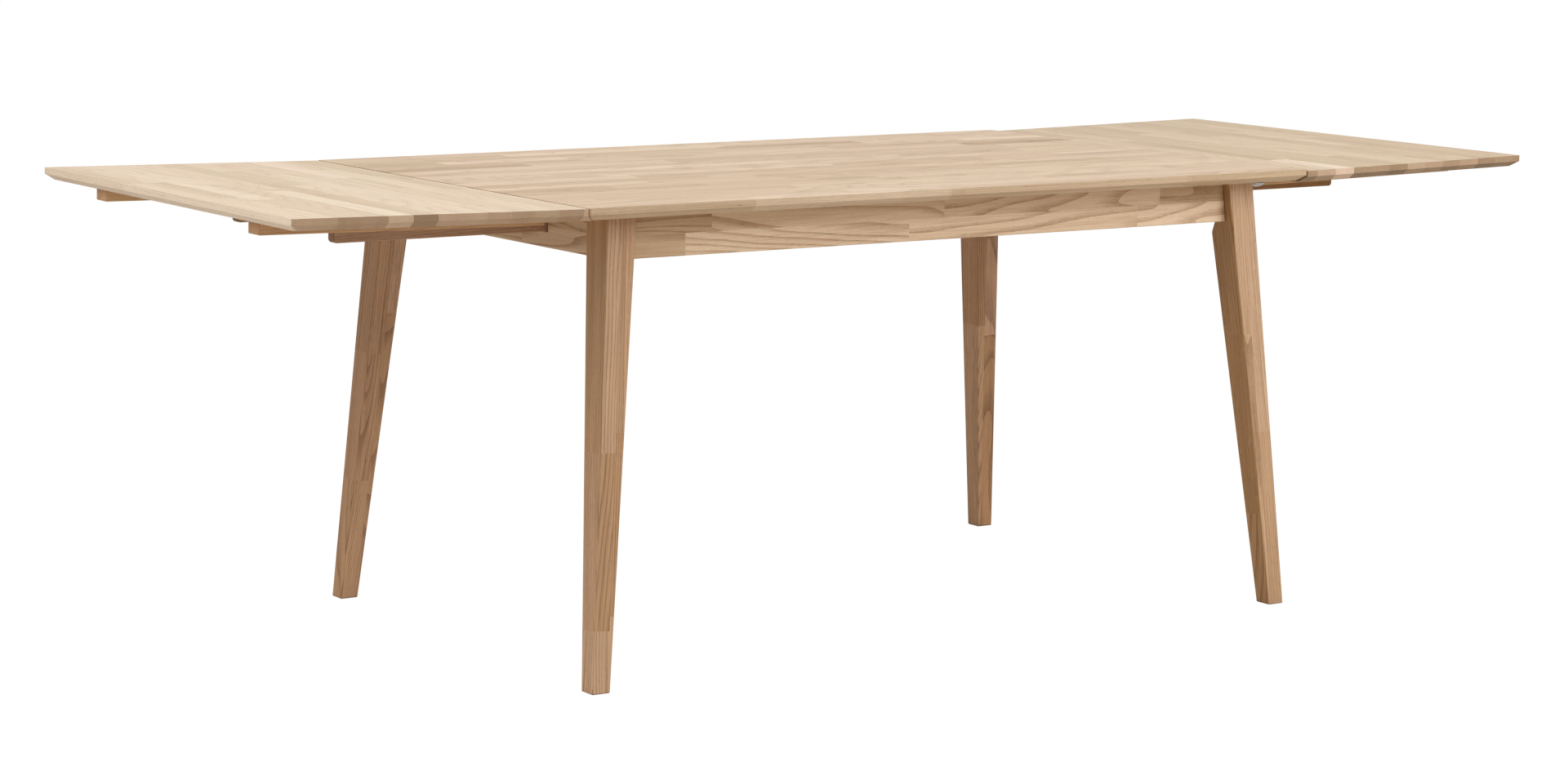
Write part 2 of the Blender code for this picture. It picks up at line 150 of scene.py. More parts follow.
def new_material(name, **shader_values):
    """A material with a Principled shader whose even values are set on its own sockets."""
    material = bpy.data.materials.new(name)
    material.use_nodes = True
    shader = material.node_tree.nodes["Principled BSDF"]
    for socket, value in shader_values.items():
        shader.inputs[socket.replace("_", " ")].default_value = value
    return material, material.node_tree, shader


# ---------------------------------------------------------------- finishes
def oak(name, pale, dark, pore, ring_depth=0.42, tone_swing=0.16, end_colour="#a38268"):
    """Oiled oak cut from a log. The log attribute places each stave somewhere in a trunk, so
    the same rings give cathedrals, straight lines or arcs by how the stave was sawn. The
    stave attribute gives its tone, its warmth and its share of ray fleck, and the end
    attribute is 1 where the saw crossed the fibres, which drink more oil and go darker."""
    material, tree, shader = new_material(name, IOR=1.5)
    times, times_add = {"operation": "MULTIPLY"}, {"operation": "MULTIPLY_ADD"}
    eased = {"interpolation_type": "SMOOTHSTEP"}

    log = node(tree, "ShaderNodeAttribute", {"attribute_name": "log"}).outputs["Vector"]
    stave = node(tree, "ShaderNodeAttribute", {"attribute_name": "stave"}).outputs["Vector"]
    end = node(tree, "ShaderNodeAttribute", {"attribute_name": "end"}).outputs["Fac"]
    along = node(tree, "ShaderNodeSeparateXYZ", None, {0: log}).outputs
    tone, warmth, fleck_share = node(tree, "ShaderNodeSeparateXYZ", None, {0: stave}).outputs

    # what varies through the log: the stray of the rings, fine streaks of fibre, broad soft
    # bands of it, and open pores
    varied = []
    for stretch, detail, roughness in (
        (STRAYS, 2.0, 0.55), (FIBRES, 3.0, 0.62), (BANDS, 2.0, 0.55), (PORES, 1.0, 0.55),
    ):
        spot = node(tree, "ShaderNodeVectorMath", times, {0: log, 1: stretch})
        varied.append(node(
            tree, "ShaderNodeTexNoise", {"noise_dimensions": "3D"},
            {"Vector": spot, "Scale": 1.0, "Detail": detail, "Roughness": roughness},
        ))
    stray, fibre, band, pores = varied

    # growth rings: distance from the pith, wandering slowly up the trunk
    cross = node(tree, "ShaderNodeVectorMath", times, {0: log, 1: (0, 1, 1)})
    radius = node(tree, "ShaderNodeVectorMath", {"operation": "LENGTH"}, {0: cross})
    stray = node(
        tree, "ShaderNodeMath", times_add, {0: stray, 1: RING_WANDER, 2: -RING_WANDER / 2}
    )
    distance = node(
        tree, "ShaderNodeMath", {"operation": "ADD"}, {0: radius.outputs["Value"], 1: stray}
    )
    uneven = node(
        tree, "ShaderNodeTexNoise", {"noise_dimensions": "1D"},
        {"W": distance, "Scale": YEARS_CHANGE, "Detail": 1.0},
    )
    phase = node(tree, "ShaderNodeMath", times, {0: distance, 1: 1.0 / RING_PITCH})
    phase = node(tree, "ShaderNodeMath", times_add, {0: uneven, 1: RING_UNEVEN, 2: phase})
    ring = node(tree, "ShaderNodeMath", {"operation": "FRACT"}, {0: phase})
    early = node(
        tree, "ShaderNodeMapRange", eased, {0: ring, 1: 0.0, 2: EARLY_WOOD, 3: 1.0, 4: 0.0}
    )

    # most pores are in the early wood
    pores = node(tree, "ShaderNodeMapRange", eased, {0: pores, 1: PORES_FROM, 2: PORES_FULL})
    crowding = node(tree, "ShaderNodeMath", times_add, {0: early, 1: 0.7, 2: 0.3})
    pores = node(tree, "ShaderNodeMath", times, {0: pores, 1: crowding})

    # ray fleck: thin sheets that run from the pith outwards
    angle = node(tree, "ShaderNodeMath", {"operation": "ARCTAN2"}, {0: along[2], 1: along[1]})
    sheet = node(tree, "ShaderNodeCombineXYZ", None, {0: along[0], 1: angle, 2: distance})
    sheet = node(tree, "ShaderNodeVectorMath", times, {0: sheet, 1: FLECKS})
    fleck = node(
        tree, "ShaderNodeTexNoise", {"noise_dimensions": "3D"},
        {"Vector": sheet, "Scale": 1.0, "Detail": 1.0},
    )
    fleck = node(tree, "ShaderNodeMapRange", eased, {0: fleck, 1: FLECK_FROM, 2: FLECK_FULL})
    fleck = node(tree, "ShaderNodeMath", times, {0: fleck, 1: fleck_share})

    # a start value and so much of each part of the pattern: how dark a spot is, from the pale
    # late wood (0) to the dark early wood (1), how rough, and how high
    sums = []
    for total, shares in (
        (DEPTH_START, ((early, ring_depth), (fibre, 0.95), (band, 0.9))),
        (0.40, ((fibre, 0.14), (pores, 0.22))),
        (0.0, ((fibre, 0.5), (pores, -0.8), (early, -0.25))),
    ):
        for part, much in shares:
            total = node(tree, "ShaderNodeMath", times_add, {0: part, 1: much, 2: total})
        sums.append(total)
    depth, rough, height = sums

    # one colour over another: dark wood, pale fleck, brown pores, and the oil in the end grain
    colour = linear(pale)
    for part, much, over, blend in (
        (depth, 1.0, dark, "MIX"), (fleck, 0.20, "#e6d2b4", "MIX"), (pores, 0.65, pore, "MIX"),
        (end, 0.75, end_colour, "MULTIPLY"),
    ):
        cover = node(tree, "ShaderNodeMath", {"operation": "MULTIPLY", "use_clamp": True},
                     {0: part, 1: much})
        colour = node(
            tree, "ShaderNodeMix", {"data_type": "RGBA", "blend_type": blend},
            {0: cover, 6: colour, 7: linear(over)},
        ).outputs[2]

    # each stave's own look, with the painted light and shade that some pieces carry on their
    # sides
    #     and faces through the same tone: pale staves are also greyer, warm ones redder, and the
    #     staves differ more at their ends
    swing = node(tree, "ShaderNodeMath", times_add, {0: end, 1: 1.6 * tone_swing, 2: tone_swing})
    colour = node(
        tree, "ShaderNodeHueSaturation", None,
        {"Hue": node(tree, "ShaderNodeMath", times_add, {0: warmth, 1: -0.007, 2: 0.5}),
         "Saturation": node(tree, "ShaderNodeMath", times_add, {0: tone, 1: -0.14, 2: 1.0}),
         "Value": node(tree, "ShaderNodeMath", times_add, {0: tone, 1: swing, 2: 1.0}),
         "Color": colour},
    )
    bump = node(
        tree, "ShaderNodeBump", None,
        {"Height": height, "Strength": 0.5, "Distance": GRAIN_RELIEF},
    )
    tree.links.new(colour.outputs[0], shader.inputs["Base Color"])
    tree.links.new(rough.outputs[0], shader.inputs["Roughness"])
    tree.links.new(bump.outputs[0], shader.inputs["Normal"])
    return material


def speckled(name, pale, dark, grains, rough, rough_swing, bump_depth, **shader_values):
    """A finish whose grain is one stretched noise: zinc flow, brushing, felt or moulded skin.
    The noise tones the colour, breaks up the gloss and raises the surface a little. grains
    is how many there are in a metre each way, so 900 is a grain of 1.1 mm."""
    material, tree, shader = new_material(name, **shader_values)
    place = node(tree, "ShaderNodeTexCoord").outputs["Object"]
    spot = node(tree, "ShaderNodeVectorMath", {"operation": "MULTIPLY"}, {0: place, 1: grains})
    grain = node(
        tree, "ShaderNodeTexNoise", {"noise_dimensions": "3D"},
        {"Vector": spot, "Scale": 1.0, "Detail": 3.0, "Roughness": 0.6},
    )
    sharp = node(tree, "ShaderNodeMapRange", None, {0: grain, 1: 0.3, 2: 0.7})
    colour = node(
        tree, "ShaderNodeMix", {"data_type": "RGBA"}, {0: sharp, 6: linear(pale), 7: linear(dark)}
    )
    gloss = node(
        tree, "ShaderNodeMath", {"operation": "MULTIPLY_ADD"},
        {0: sharp, 1: rough_swing, 2: rough},
    )
    bump = node(
        tree, "ShaderNodeBump", None, {"Height": grain, "Strength": 0.6, "Distance": bump_depth}
    )
    tree.links.new(colour.outputs[2], shader.inputs["Base Color"])
    tree.links.new(gloss.outputs[0], shader.inputs["Roughness"])
    tree.links.new(bump.outputs[0], shader.inputs["Normal"])
    return material


FINISH = {
    # white-oiled oak, sanded and open-pored: pale straw with a matt sheen
    "oak_top": oak(
        "white_oiled_oak_top", "#d8bea0", "#b39475", "#7a5e48",
        ring_depth=0.32, tone_swing=0.17, end_colour="#cdb398",
    ),
    # the leaves are glued from paler, plainer staves; their sawn ends drank more oil
    "oak_leaf": oak(
        "white_oiled_oak_leaf", "#dfc9ad", "#c4aa8d", "#8a6e56",
        ring_depth=0.24, tone_swing=0.15, end_colour="#c0aa98",
    ),
    # legs, of the same oak with a warmer oil: rings and staves stand out more
    "oak_leg": oak(
        "oiled_laminated_oak_leg", "#caa17a", "#8b6241", "#543722",
        ring_depth=0.52, tone_swing=0.20,
    ),
    # aprons, rails and blocks, oiled as the legs but paler
    "oak_frame": oak(
        "oiled_oak_frame", "#dfc3a1", "#a5794f", "#624530", ring_depth=0.54, tone_swing=0.22,
    ),
    # runners, of a darker oak than the frame all over
    "oak_runner": oak("oiled_oak_runner", "#b48c67", "#8a6341", "#573c26", ring_depth=0.44),
    # battens, golden and even, with pale ends
    "oak_batten": oak(
        "oiled_oak_batten", "#d9b38a", "#ad855d", "#6c4d35",
        ring_depth=0.36, tone_swing=0.15, end_colour="#f4e8dc",
    ),
    # plain turned beech, unoiled: even, pinkish, with short fine flecks
    "beech": speckled(
        "turned_beech", "#cfa27c", "#b68660", grains=(90.0, 900.0, 900.0),
        rough=0.50, rough_swing=0.12, bump_depth=0.08 * MM,
    ),
    # zinc plate on pressed steel: pale blue-grey with a dull, slightly mottled gloss
    "zinc_steel": speckled(
        "zinc_plated_steel", "#c6c9cc", "#9da1a6", grains=(420.0, 420.0, 420.0),
        rough=0.28, rough_swing=0.16, bump_depth=0.02 * MM, Metallic=1.0,
    ),
    # polished pressed steel of the latch: bright, with faint drawing lines
    "bright_steel": speckled(
        "bright_pressed_steel", "#d9dadb", "#b4b6b9", grains=(160.0, 1100.0, 1100.0),
        rough=0.18, rough_swing=0.12, bump_depth=0.01 * MM, Metallic=1.0,
    ),
    # dark needled felt: matt, with loose lighter fibres
    "felt": speckled(
        "needled_felt", "#3f3b38", "#26231f", grains=(900.0, 900.0, 2600.0),
        rough=0.92, rough_swing=0.06, bump_depth=0.3 * MM, Sheen_Weight=0.4,
    ),
    # off-white moulded nylon: waxy, faint moulding texture
    "nylon": speckled(
        "moulded_nylon", "#d5cec0", "#c2baa9", grains=(500.0, 500.0, 500.0),
        rough=0.42, rough_swing=0.10, bump_depth=0.04 * MM, IOR=1.53,
    ),
}

SLOT_OF = {
    "table_top": "oak_top", "leaf_left": "oak_leaf", "leaf_right": "oak_leaf",
    "leg": "oak_leg", "apron": "oak_frame", "centre_rail": "oak_frame",
    "cross_rail": "oak_frame", "corner_block": "oak_frame", "runner": "oak_runner",
    "leaf_batten": "oak_batten", "leaf_dowel": "beech", "stop_pin": "beech",
    "corner_bolt": "zinc_steel", "top_bracket": "zinc_steel", "latch_tongue": "zinc_steel",
    "latch_knob": "bright_steel", "rest_pad": "felt", "foot_glide": "nylon",
}


def slot_of(name):
    """The finish of a CAD node, by the longest start of its name that is listed."""
    return SLOT_OF[max((key for key in SLOT_OF if name.startswith(key)), key=len)]


# ---------------------------------------------------------------- boards of glued staves
def sanded_copy(name):
    """The CAD node as one closed mesh of whole faces, with its planed edges sanded round."""
    shape = bmesh.new()
    shape.from_mesh(frame["nodes"][name].data)
    bmesh.ops.remove_doubles(shape, verts=shape.verts, dist=MERGE)
    bmesh.ops.dissolve_limit(shape, angle_limit=FLAT, verts=shape.verts, edges=shape.edges)
    planed = [
        edge for edge in shape.edges
        if len(edge.link_faces) == 2
        and ARRIS_FROM < edge.calc_face_angle(0.0) < ARRIS_TO
        and edge.calc_length() > ARRIS_SHORTEST
    ]
    bmesh.ops.bevel(
        shape, geom=planed, offset=EDGE_ROUND, segments=EDGE_STEPS, profile=0.5,
        affect="EDGES", clamp_overlap=True,
    )
    return shape


def cut_rows(shape, across, rows):
    """Cuts the whole shape at each glue line between two rows of staves."""
    for row in rows:
        everything = shape.verts[:] + shape.edges[:] + shape.faces[:]
        bmesh.ops.bisect_plane(
            shape, geom=everything, dist=CUT_NEAR, plane_co=across * row, plane_no=across
        )


def cut_joints(shape, across, low, high, grain, joints):
    """Cuts one row of staves at its butt joints."""
    for joint in joints:
        faces = [f for f in shape.faces if low < f.calc_center_median().dot(across) < high]
        edges = {e for f in faces for e in f.edges}
        verts = {v for f in faces for v in f.verts}
        bmesh.ops.bisect_plane(
            shape, geom=[*verts, *edges, *faces], dist=CUT_NEAR, plane_co=grain * joint,
            plane_no=grain,
        )


def in_order(shape):
    """The same shape with its corners and faces listed by where they are, because the cuts
    leave them in an order that changes from one run to the next."""
    corners = sorted(shape.verts, key=lambda vert: vert.co.to_tuple(6))
    rank = {vert: i for i, vert in enumerate(corners)}
    rings = [[rank[vert] for vert in face.verts] for face in shape.faces]
    fresh = bmesh.new()
    verts = [fresh.verts.new(vert.co) for vert in corners]
    for ring in sorted(rings, key=sorted):
        fresh.faces.new([verts[i] for i in ring])
    fresh.normal_update()
    shape.free()
    return fresh


def row_joints(rng, start, stop, shortest, longest):
    """Where the staves of one row meet, at random lengths, with no stub at either end."""
    joints = []
    reach = start + rng.uniform(*FIRST_STAVE) * longest
    while reach < stop - SHORTEST_STUB * shortest:
        joints.append(reach)
        reach += rng.uniform(shortest, longest)
    return joints


def held(value):
    """Keeps an odd stave from standing out too far."""
    return max(-ODDEST, min(ODDEST, value))


def log_place(rng):
    """Where a stave sat in the trunk: its place across and along it, and a slight lean."""
    out = rng.uniform(PITH_NEAR, PITH_FAR)
    turn = rng.uniform(0.0, 2 * math.pi)
    return (
        out * math.cos(turn), out * math.sin(turn), rng.uniform(0.0, TRUNKS),
        math.tan(math.radians(rng.gauss(0.0, LEAN))),
        math.tan(math.radians(rng.gauss(0.0, LEAN))),
    )


Stave = namedtuple("Stave", "low high near far middle place planed sawn side_on")


def board(name, grain, across, origin, rows, lengths, seed, joints=None, tones=None,
          shift=(0.0, 0.0), side_light_and_shade=(0.0,)):
    """A glued board in place of a CAD node. rows are the glue lines, measured across the
    grain from origin, and lengths are its shortest and longest staves. joints may give the
    butt joints of a row, and tones may give the tone and warmth of its staves; everything
    else is drawn from the seed. shift changes the tone and warmth of them all, other than on
    end grain. The last argument gives how much paler or darker each stave along the grain is
    on the faces that look across it: painted light and shade on those sides, paler where a
    lamp lights them and darker where the top and leaves shade them."""
    rng = random.Random(seed)
    depth = grain.cross(across)
    shape = sanded_copy(name)
    for vert in shape.verts:
        vert.co -= origin
    reach = [vert.co.dot(grain) for vert in shape.verts]
    start, stop = min(reach), max(reach)
    cut_rows(shape, across, rows)
    edges = [-FAR_OFF, *rows, FAR_OFF]
    staves = []
    for i, (low, high) in enumerate(zip(edges, edges[1:])):
        joined = (joints or {}).get(i)
        if joined is None:
            joined = row_joints(rng, start, stop, *lengths)
        cut_joints(shape, across, low, high, grain, joined)
        ends = [-FAR_OFF, *joined, FAR_OFF]
        middle = 0.0
        if rows:
            middle = (max(low, rows[0] - OUTER_ROW) + min(high, rows[-1] + OUTER_ROW)) / 2
        for j, (near, far) in enumerate(zip(ends, ends[1:])):
            place = log_place(rng)
            tone, warmth = rng.gauss(0, TONE_SPREAD), rng.gauss(0, WARMTH_SPREAD)
            fleck = rng.random()
            if tones and (i, j) in tones:
                tone, warmth = tones[i, j]
            sawn = (held(tone), held(warmth), fleck)
            planed = (held(tone + shift[0]), held(warmth + shift[1]), fleck)
            # the sides that look across the grain are painted paler or darker, stave by stave:
            # painted light and shade
            side_on = (held(planed[0] + side_light_and_shade[min(j, len(side_light_and_shade) - 1)]), planed[1], fleck)
            staves.append(Stave(low, high, near, far, middle, place, planed, sawn, side_on))

    shape = in_order(shape)
    log = shape.loops.layers.float_vector.new("log")
    stave = shape.faces.layers.float_vector.new("stave")
    end = shape.faces.layers.float.new("end")
    for face in shape.faces:
        centre = face.calc_center_median()
        side, length = centre.dot(across), centre.dot(grain)
        own = next(s for s in staves if s.low <= side <= s.high and s.near <= length <= s.far)
        squareness = abs(face.normal.dot(grain))
        face[stave] = own.planed
        if squareness > END_GRAIN_FULL:
            face[stave] = own.sawn
        # faces that look across the grain take the painted light and shade of the sides
        elif abs(face.normal.dot(across)) > PAINTED_SIDE_FROM:
            face[stave] = own.side_on
        share = (squareness - END_GRAIN_FROM) / (END_GRAIN_FULL - END_GRAIN_FROM)
        face[end] = min(1.0, max(0.0, share))
        pith_u, pith_v, along, lean_u, lean_v = own.place
        for loop in face.loops:
            spot = loop.vert.co
            u, v, w = spot.dot(grain), spot.dot(across) - own.middle, spot.dot(depth)
            loop[log] = (u + along, pith_u + v + lean_u * u, pith_v + w + lean_v * u)
    for vert in shape.verts:
        vert.co += origin
    return finished(name, shape)


def plain_mesh(draft):
    """The mesh that an object with modifiers comes to; the object itself is thrown away."""
    bpy.context.view_layer.update()
    mesh = bpy.data.meshes.new_from_object(
        draft.evaluated_get(bpy.context.evaluated_depsgraph_get())
    )
    bpy.data.objects.remove(draft)
    return mesh


def finished(name, shape):
    """Turns a worked copy of a CAD node into the piece that stands for it."""
    mesh = bpy.data.meshes.new(name + "_wood")
    shape.to_mesh(mesh)
    shape.free()
    mesh.shade_smooth()
    mesh.set_sharp_from_angle(angle=CRISP)
    draft = bpy.data.objects.new(name + "_draft", mesh)
    bpy.context.scene.collection.objects.link(draft)
    even = draft.modifiers.new("even_shading", "WEIGHTED_NORMAL")
    even.keep_sharp = True
    even.weight = 100
    smooth = plain_mesh(draft)
    piece = bpy.data.objects.new(name + "_wood", smooth)
    bpy.context.scene.collection.objects.link(piece)
    smooth.materials.clear()
    smooth.materials.append(FINISH[slot_of(name)])
    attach(piece, BODY_OF[name])
    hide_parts(name)
    return piece


def glue_lines(low, high, pitch, first):
    """Glue lines at an even pitch between two edges; first is the first row's share of one."""
    reach = low + pitch * first
    found = []
    while reach < high - NARROWEST_ROW * pitch:
        found.append(reach)
        reach += pitch
    return found


def one_plank(name, grain, across, seed, shift=(0.0, 0.0)):
    """A piece sawn from a single plank, with no glue lines or joints."""
    low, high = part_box(name)
    board(name, grain, across, (low + high) / 2, [], (0.0, 0.0), seed, {0: []}, shift=shift)


def named(*starts):
    """The CAD nodes whose names start so, in the order of the alphabet."""
    return [name for name in sorted(frame["nodes"]) if name.startswith(starts)]


# the top's front and back edges are painted a little darker than its face: painted shade
board(
    "table_top", X, Y, ORIGIN, glue_lines(-HALF_WIDTH, HALF_WIDTH, TOP_ROW, 0.95), (0.20, 0.50),
    11, side_light_and_shade=(-0.5,),
)
# the leaves' edges that look along the table are painted paler, the left leaf's far more: painted
# light from the left
for side, seed, shift, side_light_and_shade in (
    ("left", 23, (0.2, 0.1), (1.4,)),
    ("right", 37, (-0.8, -0.3), (0.2,)),
):
    low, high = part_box("leaf_" + side)
    board(
        "leaf_" + side, Y, X, ORIGIN, glue_lines(low.x, high.x, LEAF_ROW, 0.8), (0.25, 0.62),
        seed, shift=shift, side_light_and_shade=side_light_and_shade,
    )

# the pieces that stand in front have their joints given in metres along the grain, and the
# looks of their staves as (row, place in the row): (tone, warmth)
APRON_JOINTS = {0: [-0.485, -0.065, 0.397], 1: [-0.437, 0.003, 0.444]}
APRON_TONES = {
    (0, 0): (-0.6, 0.2), (0, 1): (0.8, -0.2), (0, 2): (0.5, 0.0), (0, 3): (0.7, -0.1),
    (1, 0): (-0.9, 0.3), (1, 1): (0.0, 0.1), (1, 2): (0.2, 0.2), (1, 3): (-0.9, 0.2),
}
for name, grain, lengths, seed, joints, tones in (
    ("apron_front", X, (0.3, 0.5), 41, APRON_JOINTS, APRON_TONES),
    ("apron_back", X, (0.3, 0.5), 43, None, None),
    ("apron_left", Y, (0.25, 0.45), 47, None, None),
    ("apron_right", Y, (0.25, 0.45), 53, None, None),
    ("centre_rail", Y, (0.25, 0.45), 59, None, None),
    ("cross_rail_left", Y, (0.25, 0.45), 61, None, None),
    ("cross_rail_right", Y, (0.25, 0.45), 67, None, None),
):
    low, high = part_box(name)
    board(name, grain, Z, ORIGIN, [(low.z + high.z) / 2], lengths, seed, joints, tones)

FOOT_X, FOOT_Y = 0.6849, 0.4374      # the middle of a leg on the floor,
HEAD_X, HEAD_Y = 0.6323, 0.3881      # and at its top
LEG_STAVES = (0.16, 0.42)
# the last list in a leg's look paints its sides, stave by stave from the foot up, mostly darker
# towards the top: painted shade cast by the top and leaves
LEGS = {
    "leg_front_left": {
        "seed": 71, "shift": (0.0, -0.2), "side_light_and_shade": (0.1, 0.4, -0.75),
        "joints": {0: [0.098, 0.369], 1: [0.12, 0.40]},
        "tones": {
            (0, 0): (0.6, 0.0), (0, 1): (-0.2, 0.1), (0, 2): (0.5, -0.1),
            (1, 0): (0.55, 0.0), (1, 1): (-0.35, 0.3), (1, 2): (0.1, 0.1),
        },
    },
    "leg_front_right": {
        "seed": 72, "shift": (0.0, 0.1), "side_light_and_shade": (-1.0, -1.15, -1.4),
        "joints": {0: [0.30], 1: [0.16, 0.47]},
        "tones": {
            (0, 0): (0.2, -0.4), (0, 1): (0.7, -0.5),
            (1, 0): (0.3, -0.4), (1, 1): (0.15, -0.4), (1, 2): (0.5, -0.4),
        },
    },
    "leg_back_left": {
        "seed": 73, "shift": (-0.1, 0.1), "side_light_and_shade": (-0.7, -0.5, -0.9),
        "joints": {0: [0.21, 0.43], 1: [0.10, 0.50]},
        "tones": {
            (0, 0): (0.4, 0.0), (0, 1): (0.3, 0.2), (0, 2): (0.4, 0.1),
            (1, 0): (-0.3, 0.1), (1, 1): (0.1, 0.0), (1, 2): (0.9, 0.2),
        },
    },
    "leg_back_right": {"seed": 74, "shift": (0.0, 0.1)},
}
for name, look in LEGS.items():
    low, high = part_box(name)
    out_x, out_y = (-1 if "left" in name else 1), (-1 if "front" in name else 1)
    foot = Vector((out_x * FOOT_X, out_y * FOOT_Y, 0.0))
    head = Vector((out_x * HEAD_X, out_y * HEAD_Y, high.z))
    grain = (head - foot).normalized()
    across = (X * -out_x - grain * (X * -out_x).dot(grain)).normalized()
    board(name, grain, across, foot, [LEG_ROW], LEG_STAVES, **look)

# the right runners are given a darker tone all over: painted shade, for they lie in the table's
# shadow
for seed, name in enumerate(named("runner", "leaf_batten"), 101):
    one_plank(name, X, Y, seed, (-1.6, 0.1) if name.startswith("runner_right") else (0.0, 0.0))
for seed, name in enumerate(named("corner_block"), 131):
    low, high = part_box(name)
    grain = Vector((1, -1, 0) if low.x * low.y > 0 else (1, 1, 0)).normalized()
    one_plank(name, grain, Z, seed)

# ---------------------------------------------------------------- screws
def screw_head():
    """A countersunk head of radius 1: a flat disc on the XY plane with a cross cut into it."""
    shape = bmesh.new()
    arm, reach = 0.16, 0.62                                 # half width and length of the cross
    rim_taper, rim_depth = 0.97, -0.3                       # the skirt under the rim
    cross_top, cross_taper, cross_depth = 0.02, 0.8, -0.45  # the hollow of the cross
    rim = [
        shape.verts.new((math.cos(a), math.sin(a), 0.0))
        for a in (2 * math.pi * i / SCREW_STEPS for i in range(SCREW_STEPS))
    ]
    skirt = [shape.verts.new((v.co.x * rim_taper, v.co.y * rim_taper, rim_depth)) for v in rim]
    corners = [
        (reach, -arm), (reach, arm), (arm, arm), (arm, reach), (-arm, reach), (-arm, arm),
        (-reach, arm), (-reach, -arm), (-arm, -arm), (-arm, -reach), (arm, -reach), (arm, -arm),
    ]
    cross = [shape.verts.new((x, y, cross_top)) for x, y in corners]
    bottom = [
        shape.verts.new((x * cross_taper, y * cross_taper, cross_depth)) for x, y in corners
    ]
    edges = []
    for loop in (rim, cross):
        edges += [shape.edges.new((a, b)) for a, b in zip(loop, loop[1:] + loop[:1])]
    bmesh.ops.triangle_fill(shape, edges=edges, use_beauty=True, normal=(0, 0, 1))
    for outer, inner in ((rim, skirt), (cross, bottom)):
        pairs = zip(outer, outer[1:] + outer[:1], inner, inner[1:] + inner[:1])
        for a, b, c, d in pairs:
            shape.faces.new((a, b, d, c))
    shape.faces.new(bottom)
    shape.faces.new(skirt)
    bmesh.ops.recalc_face_normals(shape, faces=shape.faces)
    mesh = bpy.data.meshes.new("screw_head")
    shape.to_mesh(mesh)
    shape.free()
    return bpy.data.objects.new("screw_head", mesh)


def screw_tree():
    """Puts one head on each point, square to the point's axis and turned at random."""
    tree = bpy.data.node_groups.new("screw_field", "GeometryNodeTree")
    tree.is_modifier = True
    sockets = {}
    for name, kind in (("Points", "Geometry"), ("Head", "Object"), ("Head radius", "Float"),
                       ("Seed", "Int"), ("Finish", "Material")):
        sockets[name] = tree.interface.new_socket(
            name, in_out="INPUT", socket_type="NodeSocket" + kind
        ).identifier
    tree.interface.new_socket("Screws", in_out="OUTPUT", socket_type="NodeSocketGeometry")
    given = node(tree, "NodeGroupInput").outputs
    axis = node(
        tree, "GeometryNodeInputNamedAttribute", {"data_type": "FLOAT_VECTOR"}, {"Name": "axis"}
    )
    square = node(tree, "FunctionNodeAlignRotationToVector", {"axis": "Z"}, {"Vector": axis})
    angle = node(
        tree, "FunctionNodeRandomValue", {"data_type": "FLOAT"},
        {2: 0.0, 3: math.pi, "Seed": given["Seed"]},
    )
    spin = node(
        tree, "FunctionNodeAxisAngleToRotation", None, {"Axis": UP, "Angle": angle.outputs[1]}
    )
    turned = node(
        tree, "FunctionNodeRotateRotation", {"rotation_space": "LOCAL"}, {0: square, 1: spin}
    )
    head = node(tree, "GeometryNodeObjectInfo", None, {"Object": given["Head"]})
    placed = node(
        tree, "GeometryNodeInstanceOnPoints", None,
        {"Points": given["Points"], "Instance": head.outputs["Geometry"],
         "Rotation": turned, "Scale": given["Head radius"]},
    )
    real = node(tree, "GeometryNodeRealizeInstances", None, {0: placed})
    finish = node(
        tree, "GeometryNodeSetMaterial", None, {"Geometry": real, "Material": given["Finish"]}
    )
    node(tree, "NodeGroupOutput", None, {0: finish})
    return tree, sockets


def on_face(name, start, way):
    """Where a line from start meets the face of a CAD node, and which way that face looks."""
    mesh = frame["nodes"][name].data
    skin = BVHTree.FromPolygons(
        [v.co for v in mesh.vertices], [tuple(p.vertices) for p in mesh.polygons]
    )
    spot, normal, _, _ = skin.ray_cast(Vector(start), Vector(way))
    return spot, normal


def screws(name, body, places, seed):
    """Countersunk screws at (node, start, direction) places, as one piece on one body."""
    mesh = bpy.data.meshes.new(name + "_points")
    found = [on_face(*place) for place in places]
    mesh.from_pydata([spot + normal * SCREW_PROUD for spot, normal in found], [], [])
    axis = mesh.attributes.new("axis", "FLOAT_VECTOR", "POINT")
    axis.data.foreach_set("vector", [c for _, normal in found for c in normal])
    draft = bpy.data.objects.new(name + "_draft", mesh)
    bpy.context.scene.collection.objects.link(draft)
    field = draft.modifiers.new("screws", "NODES")
    field.node_group = SCREW_TREE
    for socket, value in (("Head", SCREW_HEAD), ("Head radius", SCREW_RADIUS), ("Seed", seed),
                          ("Finish", FINISH["zinc_steel"])):
        field[SCREW_SOCKETS[socket]] = value
    piece = bpy.data.objects.new(name, plain_mesh(draft))
    bpy.context.scene.collection.objects.link(piece)
    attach(piece, body)


SCREW_HEAD = screw_head()
SCREW_TREE, SCREW_SOCKETS = screw_tree()
for seed, side in enumerate(("left", "right"), 3):
    places = []
    for end in ("front", "back"):
        name = f"leaf_batten_{side}_{end}"
        low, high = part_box(name)
        for share in BATTEN_SCREWS:
            x = low.x + share * (high.x - low.x)
            places.append((name, (x, (low.y + high.y) / 2, low.z - SCREW_START), UP))
    screws(f"batten_screws_{side}", f"leaf_{side}", places, seed)

places = []
for name in named("top_bracket"):
    low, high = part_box(name)
    middle = (low + high) / 2
    wall = Vector((0, middle.y, 0) if "front" in name or "back" in name else (middle.x, 0, 0))
    outward = wall.normalized()
    places.append((name, middle - outward * BRACKET_SCREW - Z * SCREW_START, UP))
    places.append((name, middle - Z * BRACKET_SCREW - outward * SCREW_START, outward))
screws("bracket_screws", "table", places, 5)

